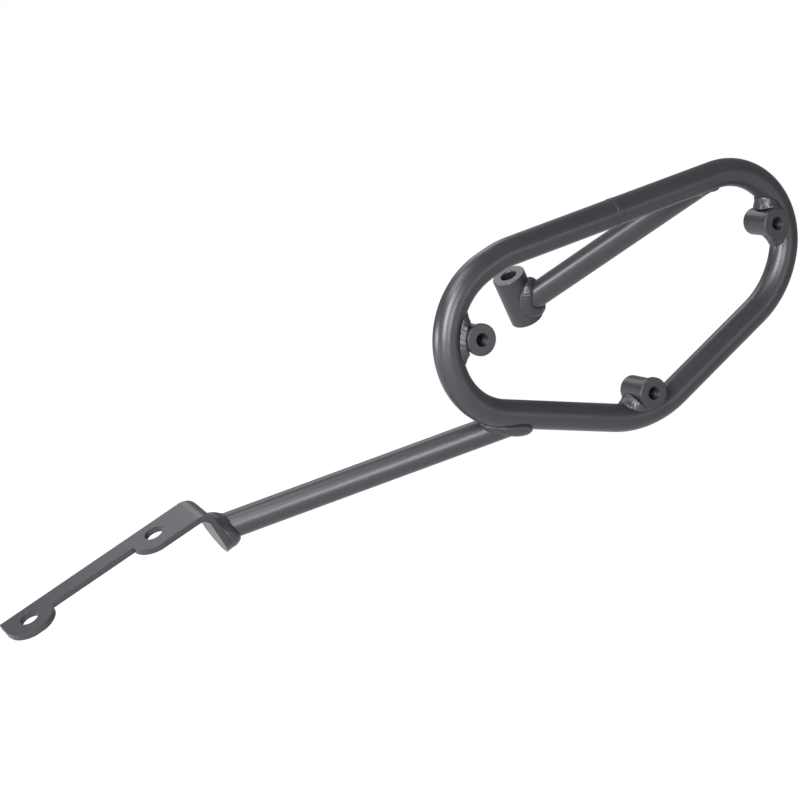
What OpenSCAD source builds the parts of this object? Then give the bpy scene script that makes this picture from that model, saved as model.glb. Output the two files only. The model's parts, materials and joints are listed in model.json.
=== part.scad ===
// Pannier frame for the left side of a motorbike: a bent tube loop with three
// threaded bosses for the pannier, an arm with a bracket and a strut with a
// mounting sleeve that bolt to the subframe. All of it is welded steel.
// X runs rearward, Y inboard and Z up. The origin is the middle of the front
// boss's threaded hole. The faces of the bosses lie in the pannier's fixing plane.

/* [Loop tube] */
// Outside diameter of the loop tube
loop_d = 18; // [14:0.5:24]
// Wall of the loop tube
loop_wall = 2; // [1:0.1:3]
// Angle by which the top run rises rearward
top_rise = 15.4; // [5:0.1:30]
// Centreline radius of the slight bend at the front of the top run
brow_r = 57; // [30:0.5:80]
// Angle of the slight bend at the front of the top run
brow_turn = 13; // [5:0.5:25]
// Straight between the slight bend and the front bend
brow_run = 7.5; // [1:0.5:20]
// Centreline radius of the front bend
nose_r = 50.5; // [35:0.5:65]
// Angle of the front bend
nose_turn = 87; // [75:0.1:100]
// Straight between the front bend and the lower front bend
nose_run = 0.5; // [0.5:0.5:15]
// Centreline radius of the lower front bend
low_front_r = 44.5; // [30:0.5:60]
// Angle of the lower front bend
low_front_turn = 58.6; // [45:0.1:70]
// Straight along the bottom of the loop
bottom_run = 82; // [60:0.5:110]
// Centreline radius of the lower rear bend
low_rear_r = 66; // [40:0.5:80]
// Angle of the lower rear bend
low_rear_turn = 43.7; // [30:0.1:55]
// Centreline radius of the rear bend, which starts above the rear run
tail_r = 59.5; // [45:0.5:70]
// Angle of the rear bend
tail_turn = 43.2; // [30:0.1:60]
// Straight between the rear bend and the top rear bend
tail_run = 0.5; // [0.5:0.5:15]
// Centreline radius of the top rear bend
top_rear_r = 45.5; // [35:0.5:60]

/* [Pannier bosses] */
// Distance from the boss faces to the plane of the loop
boss_reach = 14; // [13:0.5:20]
// Diameter of the body of a boss
boss_d = 17.5; // [15:0.5:20]
// Length of a boss with its collar
boss_len = 25; // [20:0.5:35]
// Diameter of the collar at the outboard end of a boss
collar_d = 20; // [18:0.5:26]
// Thickness of the collar
collar_t = 3.5; // [2:0.1:4.5]
// Bore of a boss, tapping size for M8
tap_d = 6.8; // [5:0.1:9]
// Depth of the chamfer at each mouth of the threaded hole
tap_chamfer = 1; // [0.4:0.1:1.5]
// Chamfer on the outer edges of a boss
boss_edge = 0.6; // [0.2:0.1:1]
// Angle round the front bend at which the front boss sits
front_boss_angle = 178; // [150:1:200]
// Distance from the axis of the front boss to the loop's centreline
front_boss_inset = 16.4; // [13:0.1:17]
// Angle round the top rear bend at which the rear boss sits
rear_boss_angle = 23; // [0:1:60]
// Distance from the axis of the rear boss to the loop's centreline
rear_boss_inset = 13.7; // [12:0.1:17]
// Angle round the lower rear bend at which the lower boss sits
lower_boss_angle = 286; // [270:1:300]
// Distance from the axis of the lower boss to the loop's centreline
lower_boss_inset = 14.2; // [12:0.1:17]

/* [Subframe mounting direction] */
// Turn of the bike's mounting rail about the vertical
mount_yaw = -8; // [-20:1:10]
// Rise of the mounting rail
mount_rise = 30.5; // [15:0.5:45]
// Roll of the mounting faces about the rail
mount_roll = 12.5; // [-5:0.5:25]

/* [Strut and sleeve] */
// Outside diameter of the strut
strut_d = 17; // [14:0.5:17.5]
// Wall of the strut
strut_wall = 2; // [1:0.1:3]
// Distance from the rear end of the loop's top run to the strut's axis
strut_joint_back = 2; // [0:0.5:40]
// Where the strut's axis meets the sleeve's axis, rearward of the origin
sleeve_x = 128; // [90:1:160]
// Where the strut's axis meets the sleeve's axis, inboard of the origin
sleeve_y = 144.5; // [110:0.5:180]
// Where the strut's axis meets the sleeve's axis, above the origin
sleeve_z = 0; // [-30:1:30]
// Outside diameter of the sleeve
sleeve_d = 22.5; // [20:0.5:30]
// Bore of the sleeve for the subframe bolt
sleeve_bore = 10.5; // [8:0.1:13]
// Length of the sleeve
sleeve_len = 36; // [32:0.5:50]
// Distance from the sleeve's middle down to the strut's axis
sleeve_drop = 7; // [0:0.5:9]
// Chamfer on the edges of the sleeve
sleeve_edge = 0.6; // [0.2:0.1:1.2]

/* [Arm tube] */
// Outside diameter of the arm
arm_d = 17; // [13:0.5:17.5]
// Wall of the arm
arm_wall = 2; // [1:0.1:3]
// Length of the arm's axis from the loop's centreline to the bracket
arm_len = 205.5; // [150:0.5:260]
// Turn of the arm about the vertical, inboard going forward
arm_yaw = -21.5; // [-35:0.5:-10]
// Rise of the arm going rearward
arm_rise = 19; // [8:0.5:24]
// Distance from the front end of the bottom run to the arm's axis
arm_joint = 20; // [10:1:50]

/* [Bracket] */
// Thickness of the bracket's flat bar
bar_t = 4; // [3:0.5:8]
// Width of the flat bar
bar_w = 28; // [26:0.5:36]
// Inside radius of the bend between the flat and the tab
bend_r = 6; // [3:0.5:12]
// Angle of the bend
bend_turn = 85; // [70:1:100]
// Distance from the bend to the middle of the arm on the tab
tab_run = 14; // [10:0.5:25]
// Distance from the bend to the rear hole
rear_hole_run = 24.5; // [18:0.5:40]
// Distance between the two holes
hole_pitch = 90.5; // [60:0.5:120]
// Diameter of the two holes
hole_d = 12; // [8:0.5:14]
// Distance from the holes' line to the bar's inboard edge
hole_line = 12.5; // [10:0.5:16]
// Radius of the two lugs round their holes
lug_r = 15.8; // [14:0.1:20]
// Distance from the front hole to the bar's free end
end_run = 16; // [10:0.5:24]
// Radius of the tab's round end
tab_end_r = 14.2; // [13.5:0.1:24]
// Width that is left of the bar between its two lugs
waist_w = 12.8; // [8:0.1:20]

/* [Welds] */
// Leg of the fillet weld between a boss and the loop, over and under the loop
boss_leg = 4.5; // [2:0.1:5]
// Leg of the same weld where it fills the corners beside the boss
boss_side_leg = 6.5; // [4:0.1:7]
// Leg of the fillet weld between strut and loop
strut_leg = 3; // [1.5:0.1:4]
// Leg of the fillet weld between strut and sleeve
sleeve_leg = 4.5; // [1.5:0.1:5]
// Leg of the fillet weld between arm and loop
arm_leg = 3.5; // [1.5:0.1:5]
// Leg of the fillet weld between arm and tab, on the tab
tab_leg = 5; // [2:0.1:5]
// Leg of the same weld on the arm
tab_arm_leg = 8.5; // [2:0.1:10]
// Width of the butt weld that closes the loop
seam_w = 5; // [2:0.5:8]
// Height of the butt weld above the tube
seam_h = 0.35; // [0.2:0.05:0.8]
// Place of the butt weld, as a share of the top run from its rear end
seam_place = 0.5; // [0.2:0.05:0.8]

/* [Hidden] */
$fn = 64;

powder_coat = [0.29, 0.29, 0.31];
weld_coat = [0.34, 0.34, 0.36];

// Steps of the curves that are worked out point by point
corner_steps = 40;
bend_steps = 24;
leg_steps = 3;
crown_steps = 4;
root_steps = 24;
// Rise of a weld's face, as a share of its width; the bosses' welds are hollow
weld_crown = 0.25;
boss_crown = -0.15;
// Film between a weld and the steel, and the least leg where there is no room
weld_seat = 0.08;
least_leg = 1.2;
// Least room between a boss's weld and its collar
collar_gap = 0.3;
// Draw of the tube in a bend, and how far a straight reaches into one
bend_draw = 0.02;
run_lap = 0.05;
cut_past = 0.01;

// Vectors
function unit(v) = v / norm(v);
function flat(x, z) = [x, 0, z];
function heading(a) = [cos(a), 0, sin(a)];

// Loop: a bender's table, walked forward along the top run and then round.
// Each row is a bend's radius, its angle and the straight after it.
top_heading = 180 + top_rise;
front_turns = brow_turn + nose_turn + low_front_turn + low_rear_turn;
top_rear_turn = 360 - front_turns - tail_turn;
rear_heading = top_heading + front_turns;

open_bends = [
    [brow_r, brow_turn, brow_run],
    [nose_r, nose_turn, nose_run],
    [low_front_r, low_front_turn, bottom_run],
    [low_rear_r, low_rear_turn, 0],
    [tail_r, tail_turn, tail_run],
    [top_rear_r, top_rear_turn, 0]
];

// The way from the start of a bend to its end, for a heading a at its start
function bend_step(r, turn, a) =
    r * flat(sin(a + turn) - sin(a), cos(a) - cos(a + turn));
function start_heading(rows, i) =
    i == 0 ? top_heading : start_heading(rows, i - 1) + rows[i - 1][1];
function row_step(rows, i) =
    bend_step(rows[i][0], rows[i][1], start_heading(rows, i))
    + rows[i][2] * heading(start_heading(rows, i) + rows[i][1]);
function walk(rows, i) =
    i == 0 ? flat(0, 0) : walk(rows, i - 1) + row_step(rows, i - 1);

// The rear run and the top run have the lengths that close the loop
miss = -walk(open_bends, len(open_bends));
closing_angle = top_heading - rear_heading;
rear_run = (miss.x * sin(top_heading) - miss.z * cos(top_heading)) / sin(closing_angle);
top_run = (miss.z * cos(rear_heading) - miss.x * sin(rear_heading)) / sin(closing_angle);
runs = [brow_run, nose_run, bottom_run, rear_run, tail_run, top_run];
bends = [for (i = [0 : len(open_bends) - 1]) [open_bends[i][0], open_bends[i][1], runs[i]]];
bend_count = len(bends);

// Centre of a bend, from where it starts
function centre_from(p, r, a) = p + r * heading(a + 90);

// The front boss is at the origin, which places the whole loop
nose_from_start = centre_from(walk(bends, 1), nose_r, start_heading(bends, 1));
nose_centre = -(nose_r - front_boss_inset) * heading(front_boss_angle);
loop_plane = boss_reach - boss_len / 2;
loop_start = nose_centre - nose_from_start + [0, loop_plane, 0];

bend_starts = [for (i = [0 : bend_count - 1]) loop_start + walk(bends, i)];
headings = [for (i = [0 : bend_count - 1]) start_heading(bends, i)];
centres = [for (i = [0 : bend_count - 1])
    centre_from(bend_starts[i], bends[i][0], headings[i])];
run_starts = [for (i = [0 : bend_count - 1])
    bend_starts[i] + bend_step(bends[i][0], bends[i][1], headings[i])];

// Bends by name
NOSE = 1;
LOW_FRONT = 2;
LOW_REAR = 3;
TOP_REAR = 5;

function turned(i) = headings[i] + bends[i][1];
function on_bend(i, angle, inset) = centres[i] + (bends[i][0] - inset) * heading(angle);
function on_run(i, along) = run_starts[i] + along * heading(turned(i));

loop_r = loop_d / 2;

// Nearest point of the loop's centreline, over its bends and runs
function in_bend(i, p) =
    let (v = p - centres[i], past = atan2(v.z, v.x) - headings[i] + 90)
    past - 360 * floor(past / 360) <= bends[i][1];
function bend_foot(i, p) =
    let (v = p - centres[i])
    centres[i] + bends[i][0] * unit([v.x, 0, v.z]);
function run_foot(i, p) =
    let (d = heading(turned(i)))
    run_starts[i] + max(0, min(bends[i][2], (p - run_starts[i]) * d)) * d;
function loop_foot(p) =
    let (
        feet = [for (i = [0 : bend_count - 1])
            each in_bend(i, p) ? [run_foot(i, p), bend_foot(i, p)] : [run_foot(i, p)]],
        gaps = [for (f = feet) norm(p - f)]
    )
    feet[search(min(gaps), gaps)[0]];

// Bosses
front_boss_at = on_bend(NOSE, front_boss_angle, front_boss_inset) - [0, boss_reach, 0];
rear_boss_at = on_bend(TOP_REAR, rear_boss_angle, rear_boss_inset) - [0, boss_reach, 0];
lower_boss_at = on_bend(LOW_REAR, lower_boss_angle, lower_boss_inset) - [0, boss_reach, 0];
boss_r = boss_d / 2;
tap_r = tap_d / 2;

// Subframe mounting frame: rail runs along it, up is the direction of its bolts
function spin(v, a) =
    let (x = [v.x, v.y * cos(a.x) - v.z * sin(a.x), v.y * sin(a.x) + v.z * cos(a.x)],
        y = [x.x * cos(a.y) + x.z * sin(a.y), x.y, x.z * cos(a.y) - x.x * sin(a.y)])
    [y.x * cos(a.z) - y.y * sin(a.z), y.x * sin(a.z) + y.y * cos(a.z), y.z];
mount_turn = [mount_roll, -mount_rise, mount_yaw];
rail = spin([1, 0, 0], mount_turn);
inboard = spin([0, 1, 0], mount_turn);
bolt_up = spin([0, 0, 1], mount_turn);

// Strut, from the loop's centreline to the sleeve's axis
strut_from = on_run(TOP_REAR, strut_joint_back);
strut_to = [sleeve_x, sleeve_y, sleeve_z];
strut_dir = unit(strut_to - strut_from);
strut_r = strut_d / 2;
sleeve_r = sleeve_d / 2;

// Arm, from the loop's centreline to the bracket's tab
arm_turn = [0, -arm_rise, arm_yaw];
arm_from = on_run(LOW_FRONT, arm_joint);
arm_dir = -spin([1, 0, 0], arm_turn);
arm_to = arm_from + arm_len * arm_dir;
arm_r = arm_d / 2;

// Bracket in the mounting frame: its flat ends where the bend starts, at
// x = 0, its upper face is z = 0 and the line of its holes is y = 0
outer_bend_r = bend_r + bar_t;
free_end = -rear_hole_run - hole_pitch - end_run;
rear_hole_x = -rear_hole_run;
front_hole_x = rear_hole_x - hole_pitch;
bar_mid = hole_line - bar_w / 2;
tab_mid = [
    outer_bend_r * sin(bend_turn) + tab_run * cos(bend_turn),
    bar_mid,
    -outer_bend_r * (1 - cos(bend_turn)) - tab_run * sin(bend_turn)
];
bracket_at = arm_to - spin(tab_mid, mount_turn);
tab_out = sin(bend_turn) * rail + cos(bend_turn) * bolt_up;

// Turns the z axis to a direction
module along(v) {
    rotate([0, acos(v.z / norm(v)), atan2(v.y, v.x)]) children();
}

module rod(from, to, r) {
    translate(from) along(to - from) cylinder(h = norm(to - from), r = r);
}

// Round bar along the loop's centreline. Bent tube comes out a hair slimmer
// than straight tube, and each run reaches a little way into its bends.
module loop_bar(r) {
    for (i = [0 : bend_count - 1]) {
        translate(centres[i]) rotate([90, 0, 0]) rotate([0, 0, headings[i] - 90])
            rotate_extrude(angle = bends[i][1]) translate([bends[i][0], 0])
                circle(r = r - bend_draw);
        rod(on_run(i, -run_lap), on_run(i, bends[i][2] + run_lap), r);
    }
}

module loop_tube() {
    color(powder_coat) difference() {
        loop_bar(loop_r);
        loop_bar(loop_r - loop_wall);
    }
}

// Crowned ring where the tube's two ends meet
module loop_seam_weld() {
    color(weld_coat) translate(on_run(TOP_REAR, seam_place * top_run)) along(heading(top_heading))
        rotate_extrude() polygon([
            [loop_r, -seam_w / 2],
            [loop_r + seam_h, -seam_w / 4],
            [loop_r + seam_h, seam_w / 4],
            [loop_r, seam_w / 2]
        ]);
}

// Turned boss with its face outboard, coped to sit against the loop
module boss_blank() {
    rotate([-90, 0, 0]) rotate_extrude() polygon([
        [0, 0],
        [collar_d / 2 - boss_edge, 0],
        [collar_d / 2, boss_edge],
        [collar_d / 2, collar_t - boss_edge],
        [collar_d / 2 - boss_edge, collar_t],
        [boss_r, collar_t],
        [boss_r, boss_len - boss_edge],
        [boss_r - boss_edge, boss_len],
        [0, boss_len]
    ]);
}

module tapped_hole() {
    rotate([-90, 0, 0]) {
        translate([0, 0, -cut_past]) cylinder(h = boss_len + 2 * cut_past, r = tap_r);
        translate([0, 0, -cut_past])
            cylinder(h = tap_chamfer + cut_past, r1 = tap_r + tap_chamfer + cut_past, r2 = tap_r);
        translate([0, 0, boss_len - tap_chamfer])
            cylinder(h = tap_chamfer + cut_past, r1 = tap_r, r2 = tap_r + tap_chamfer + cut_past);
    }
}

module boss(at) {
    color(powder_coat) difference() {
        translate(at) boss_blank();
        translate(at) tapped_hole();
        loop_bar(loop_r);
    }
}

module front_boss() {
    boss(front_boss_at);
}

module rear_boss() {
    boss(rear_boss_at);
}

module lower_boss() {
    boss(lower_boss_at);
}

// A skin is a function that takes a point to the nearest one on a surface and
// to the surface's outward direction there.
function rod_skin(at, dir, r) = function(p)
    let (foot = at + ((p - at) * dir) * dir, out = unit(p - foot))
    [foot + r * out, out];
function face_skin(at, out) = function(p) [p - ((p - at) * out) * out, out];
loop_skin = function(p)
    let (foot = loop_foot(p), out = unit(p - foot))
    [foot + loop_r * out, out];

function seated(skin, p) = let (s = skin(p)) s[0] + weld_seat * s[1];
function pointing(v, way) = unit(v * way < 0 ? -v : v);

// Section of a fillet weld in the corner at p between a tube's skin and the
// skin that it stands on: the root, one leg, the crowned face, the other leg.
// leg_at gives the two legs at a point, on the tube and on the base.
function fillet_section(p, path, tube, base, leg_at, crown) =
    let (
        legs = leg_at(p),
        tube_out = tube(p)[1],
        base_out = base(p)[1],
        up_tube = pointing(cross(path, tube_out), base_out),
        off_base = pointing(cross(path, base_out), tube_out),
        middle = unit(up_tube + off_base + tube_out + base_out),
        half = acos(min(1, up_tube * off_base)) / 2,
        tube_leg = [for (k = [1 : leg_steps]) seated(tube, p + legs[0] * k / leg_steps * up_tube)],
        base_leg = [for (k = [1 : leg_steps]) seated(base, p + legs[1] * k / leg_steps * off_base)],
        a = tube_leg[leg_steps - 1],
        b = base_leg[leg_steps - 1],
        top = (a + b) / 2 + crown * norm(a - b) * middle
    )
    concat(
        [p + weld_seat / sin(half) * middle],
        tube_leg,
        [for (k = [1 : crown_steps - 1]) let (t = k / crown_steps)
            (1 - t) * (1 - t) * a + 2 * t * (1 - t) * top + t * t * b],
        [for (k = [leg_steps : -1 : 1]) base_leg[k - 1]]
    );

function even_leg(leg) = function(p) [leg, leg];

// Fillet weld along a closed corner, with legs that may change along it
module fillet_weld(corner, tube, base, leg_at, crown = weld_crown) {
    n = len(corner);
    sections = [for (i = [0 : n - 1])
        fillet_section(corner[i], unit(corner[(i + 1) % n] - corner[(i + n - 1) % n]),
            tube, base, leg_at, crown)];
    sides = len(sections[0]);
    faces = [for (i = [0 : n - 1], k = [0 : sides - 1])
        let (
            here = i * sides,
            next = ((i + 1) % n) * sides,
            up = (k + 1) % sides
        )
        each [[here + k, here + up, next + k], [here + up, next + up, next + k]]
    ];
    polyhedron([for (s = sections) each s], faces);
}

// Corner between a boss and the loop, all the way round. q is how far the
// corner lies from the loop's centreline on the inner side of the bend.
function boss_corner(i, at, angle, inset) =
    let (
        bend_r = bends[i][0],
        far = bend_r - inset,
        lean_max = acos((inset - boss_r) / loop_r)
    )
    [for (k = [0 : corner_steps - 1])
        let (
            turn = 360 * (k + 0.5) / corner_steps,
            lean = lean_max * cos(turn),
            q = loop_r * cos(lean),
            c = (pow(bend_r - q, 2) - far * far - boss_r * boss_r) / (2 * far * boss_r),
            side = (turn < 180 ? 1 : -1) * acos(max(-1, min(1, c)))
        )
        at + boss_r * heading(angle + side) + [0, boss_reach + loop_r * sin(lean), 0]
    ];

// The weld is widest beside the boss, in the plane of the loop, and stops
// short of the collar and of the boss's inboard end
boss_leg_at = function(p)
    let (
        lean = (p.y - loop_plane) / loop_r,
        leg = boss_leg + (boss_side_leg - boss_leg) * (1 - lean * lean),
        deep = p.y - loop_plane + boss_reach,
        fitting = min(leg, deep - collar_t - collar_gap, boss_len - boss_edge - deep)
    )
    [fitting, fitting];

module boss_weld(i, at, angle, inset) {
    color(weld_coat) fillet_weld(boss_corner(i, at, angle, inset),
        rod_skin(at, [0, 1, 0], boss_r), loop_skin, boss_leg_at, boss_crown);
}

module front_boss_weld() {
    boss_weld(NOSE, front_boss_at, front_boss_angle, front_boss_inset);
}

module rear_boss_weld() {
    boss_weld(TOP_REAR, rear_boss_at, rear_boss_angle, rear_boss_inset);
}

module lower_boss_weld() {
    boss_weld(LOW_REAR, lower_boss_at, lower_boss_angle, lower_boss_inset);
}

// Generators of a round tube that leaves a point in a direction
function across(v) = unit(cross(v, abs(v.z) < 0.9 ? [0, 0, 1] : [1, 0, 0]));
function generator(from, v, r, turn) =
    let (a = across(v), b = cross(v, a))
    from + r * (cos(turn) * a + sin(turn) * b);

// How far along a generator the loop's surface lies, by halving
function leave_loop(p, v, near, far, steps) =
    steps == 0 ? (near + far) / 2 :
    let (mid = (near + far) / 2, q = p + mid * v)
    norm(q - loop_foot(q)) < loop_r
        ? leave_loop(p, v, mid, far, steps - 1)
        : leave_loop(p, v, near, mid, steps - 1);
function loop_corner(from, v, r) = [for (k = [0 : corner_steps - 1])
    let (p = generator(from, v, r, 360 * k / corner_steps))
    p + leave_loop(p, v, -loop_r, 4 * loop_d, root_steps) * v
];

// The same corner where a tube meets a round bar, solved for its generators
function bar_corner(from, v, r, bar_dir, bar_r) = [for (k = [0 : corner_steps - 1])
    let (
        g = generator(from, v, r, 360 * k / corner_steps),
        p = g - from - ((g - from) * bar_dir) * bar_dir,
        q = v - (v * bar_dir) * bar_dir,
        half = p * q,
        reach = (sqrt(half * half - (q * q) * (p * p - bar_r * bar_r)) - half) / (q * q)
    )
    g + reach * v
];

// The corner where a tube meets a flat face through a point
function face_corner(from, v, r, at, out) = [for (k = [0 : corner_steps - 1])
    let (g = generator(from, v, r, 360 * k / corner_steps))
    g + ((at - g) * out) / (v * out) * v
];

// Strut, coped on the loop and on the sleeve
module strut_bar(r) {
    rod(strut_from, strut_to, r);
}

module strut_tube() {
    color(powder_coat) difference() {
        strut_bar(strut_r);
        strut_bar(strut_r - strut_wall);
        loop_bar(loop_r);
        sleeve_blank();
    }
}

module strut_loop_weld() {
    color(weld_coat) fillet_weld(loop_corner(strut_from, strut_dir, strut_r),
        rod_skin(strut_from, strut_dir, strut_r), loop_skin, even_leg(strut_leg));
}

// The weld narrows where the strut is close to the sleeve's lower end
sleeve_leg_at = function(p)
    let (
        above = (p - strut_to) * bolt_up + sleeve_len / 2 - sleeve_drop - sleeve_edge,
        fitting = max(least_leg, min(sleeve_leg, above))
    )
    [fitting, fitting];

module strut_sleeve_weld() {
    color(weld_coat) fillet_weld(bar_corner(strut_to, -strut_dir, strut_r, bolt_up, sleeve_r),
        rod_skin(strut_to, strut_dir, strut_r), rod_skin(strut_to, bolt_up, sleeve_r),
        sleeve_leg_at);
}

// Turned sleeve for a bolt of the subframe
module sleeve_blank() {
    translate(strut_to + (sleeve_drop - sleeve_len / 2) * bolt_up) along(bolt_up)
        rotate_extrude() polygon([
            [0, 0],
            [sleeve_r - sleeve_edge, 0],
            [sleeve_r, sleeve_edge],
            [sleeve_r, sleeve_len - sleeve_edge],
            [sleeve_r - sleeve_edge, sleeve_len],
            [0, sleeve_len]
        ]);
}

module mounting_sleeve() {
    color(powder_coat) difference() {
        sleeve_blank();
        rod(strut_to - sleeve_len * bolt_up, strut_to + sleeve_len * bolt_up, sleeve_bore / 2);
    }
}

// Arm, coped on the loop and cut to lie on the bracket's tab
module arm_bar(r) {
    rod(arm_from, arm_to + arm_d * arm_dir, r);
}

module behind_tab() {
    translate(arm_to) along(-tab_out) cylinder(h = 3 * arm_d, r = 2 * bar_w);
}

module arm_tube() {
    color(powder_coat) difference() {
        arm_bar(arm_r);
        arm_bar(arm_r - arm_wall);
        loop_bar(loop_r);
        behind_tab();
    }
}

module arm_loop_weld() {
    color(weld_coat) fillet_weld(loop_corner(arm_from, arm_dir, arm_r),
        rod_skin(arm_from, arm_dir, arm_r), loop_skin, even_leg(arm_leg));
}

module arm_bracket_weld() {
    color(weld_coat) fillet_weld(face_corner(arm_to, -arm_dir, arm_r, arm_to, tab_out),
        rod_skin(arm_to, arm_dir, arm_r), face_skin(arm_to, tab_out),
        function(p) [tab_arm_leg, tab_leg]);
}

// Bracket: a length of flat bar, bent once, then cut to its lugs, its waist
// and the round end of its tab
function bend_arc(r, from, to) = [for (k = [0 : bend_steps])
    let (a = from + (to - from) * k / bend_steps)
    [r * sin(a), r * cos(a) - outer_bend_r]
];

module bent_bar() {
    tab_end = tab_run + bar_w / 2;
    tab_way = [cos(bend_turn), -sin(bend_turn)];
    outside = bend_arc(outer_bend_r, 0, bend_turn);
    inside = bend_arc(bend_r, bend_turn, 0);
    translate([0, hole_line, 0]) rotate([90, 0, 0]) linear_extrude(bar_w) polygon(concat(
        [[free_end, -bar_t], [free_end, 0]],
        outside,
        [outside[bend_steps] + tab_end * tab_way, inside[0] + tab_end * tab_way],
        inside
    ));
}

// What is cut off the flat on its outboard side, around and between the lugs
module waist_cut() {
    waist_y = hole_line - waist_w;
    past = bar_w;
    difference() {
        union() {
            translate([free_end - past, -lug_r - past]) square([past + lug_r, lug_r + past]);
            translate([front_hole_x, -lug_r - past]) square([hole_pitch, waist_y + lug_r + past]);
        }
        translate([front_hole_x, 0]) circle(r = lug_r);
        translate([rear_hole_x, 0]) circle(r = lug_r);
    }
}

module tab_end_cut() {
    difference() {
        translate([0, -bar_w]) square([bar_w, 2 * bar_w]);
        circle(r = tab_end_r);
    }
}

module bracket_plate() {
    color(powder_coat) translate(bracket_at) rotate(mount_turn) difference() {
        bent_bar();
        translate([0, 0, -2 * bar_t]) linear_extrude(3 * bar_t) waist_cut();
        translate([0, bar_mid, -outer_bend_r]) rotate([0, bend_turn, 0])
            translate([tab_run, 0, bend_r - bar_t]) linear_extrude(3 * bar_t) tab_end_cut();
        for (x = [front_hole_x, rear_hole_x])
            translate([x, 0, -2 * bar_t]) cylinder(h = 3 * bar_t, r = hole_d / 2);
    }
}

loop_tube();
loop_seam_weld();
front_boss();
rear_boss();
lower_boss();
front_boss_weld();
rear_boss_weld();
lower_boss_weld();
strut_tube();
strut_loop_weld();
strut_sleeve_weld();
mounting_sleeve();
arm_tube();
arm_loop_weld();
arm_bracket_weld();
bracket_plate();
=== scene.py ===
"""Pannier frame: the coated steel carrier for the left side of a motorbike.

The bent loop, the bosses with their threads, the sleeve, the bracket and the
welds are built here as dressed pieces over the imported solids.
"""
import json
from math import ceil, cos, pi, radians, sin, tau

import bmesh
import bpy
import numpy as np
from bpy.props import FloatProperty, FloatVectorProperty, IntProperty, PointerProperty
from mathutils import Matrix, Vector

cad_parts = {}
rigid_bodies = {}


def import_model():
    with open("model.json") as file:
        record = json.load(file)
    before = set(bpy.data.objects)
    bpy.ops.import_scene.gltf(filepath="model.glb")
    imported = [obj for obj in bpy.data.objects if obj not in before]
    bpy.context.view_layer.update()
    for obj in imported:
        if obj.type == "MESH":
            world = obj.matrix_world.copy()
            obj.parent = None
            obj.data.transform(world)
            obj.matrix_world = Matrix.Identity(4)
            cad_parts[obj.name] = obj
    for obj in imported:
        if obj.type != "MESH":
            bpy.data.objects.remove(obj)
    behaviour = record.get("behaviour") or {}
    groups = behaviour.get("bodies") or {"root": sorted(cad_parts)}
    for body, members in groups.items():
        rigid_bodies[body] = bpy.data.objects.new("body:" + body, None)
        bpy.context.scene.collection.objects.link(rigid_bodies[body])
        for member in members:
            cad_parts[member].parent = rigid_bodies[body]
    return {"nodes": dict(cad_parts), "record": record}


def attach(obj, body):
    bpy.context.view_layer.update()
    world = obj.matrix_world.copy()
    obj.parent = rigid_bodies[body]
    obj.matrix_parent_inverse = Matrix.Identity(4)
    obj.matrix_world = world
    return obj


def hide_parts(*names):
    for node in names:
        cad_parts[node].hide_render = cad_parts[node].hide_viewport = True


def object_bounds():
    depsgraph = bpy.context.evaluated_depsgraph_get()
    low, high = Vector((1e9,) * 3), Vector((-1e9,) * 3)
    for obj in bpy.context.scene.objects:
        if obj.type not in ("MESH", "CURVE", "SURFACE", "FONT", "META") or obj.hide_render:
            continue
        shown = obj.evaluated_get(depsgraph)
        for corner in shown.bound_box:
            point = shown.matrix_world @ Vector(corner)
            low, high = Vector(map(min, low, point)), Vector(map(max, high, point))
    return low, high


for thing in list(bpy.data.objects):
    bpy.data.objects.remove(thing)

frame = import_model()
CAD_BOX = [list(corner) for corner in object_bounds()]

bl_info = {
    "name": "Pannier Frame",
    "version": (1, 0, 0),
    "blender": (4, 5, 0),
    "location": "3D View > Sidebar > Pannier Frame",
    "description": "Builds the dressed pieces, coats and studio of a pannier frame",
    "category": "Add Mesh",
}

MM = 0.001

# The bender's table of the loop: radius and angle of each bend and the
# straight after it, in millimetres and degrees. The last bend and the two
# open straights are those that close the loop.
TOP_RISE = 15.4
TOP_RUN = REAR_RUN = None
LOOP_BENDS = [
    (57.0, 13.0, 7.5),
    (50.5, 87.0, 0.5),
    (44.5, 58.6, 82.0),
    (66.0, 43.7, REAR_RUN),
    (59.5, 43.2, 0.5),
    (45.5, None, TOP_RUN),
]
NOSE = 1
LOW_REAR = 3
FRONT_BOSS_ANGLE = 178.0
FRONT_BOSS_INSET = 16.4
LOOP_PLANE = 1.5
LOOP_R = 9.0
INBOARD = np.array([0.0, 1.0, 0.0])

BOSSES = ("front_boss", "rear_boss", "lower_boss")
TUBES = ("arm_tube", "strut_tube")
WELDS = ("loop_seam_weld", "front_boss_weld", "rear_boss_weld", "lower_boss_weld",
         "strut_loop_weld", "strut_sleeve_weld", "arm_loop_weld", "arm_bracket_weld")

# How much fuller or flatter each weld is than its plain bead, in millimetres,
# and how far its toes run along the loop beside a boss
WELD_FILL = {"loop_seam_weld": -0.15, "front_boss_weld": 0.5, "rear_boss_weld": 0.5,
             "lower_boss_weld": 0.9, "strut_sleeve_weld": 0.7, "arm_loop_weld": 0.6,
             "arm_bracket_weld": 0.3}
WEB_REACH = {"front_boss_weld": 6.5, "rear_boss_weld": 5.0, "lower_boss_weld": 3.5}

# Points of a model nearer than this are one, in metres
MERGE = 0.002 * MM


# Colour and nodes

def srgb(code):
    """Linear colour of a hex code such as "4A4A4F"."""
    parts = [int(code[i:i + 2], 16) / 255 for i in (0, 2, 4)]
    return tuple(p / 12.92 if p <= 0.04045 else ((p + 0.055) / 1.055) ** 2.4 for p in parts)


def per_mm(size):
    """Texture scale at which one feature is size millimetres across."""
    return 1 / (size * MM)


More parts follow.
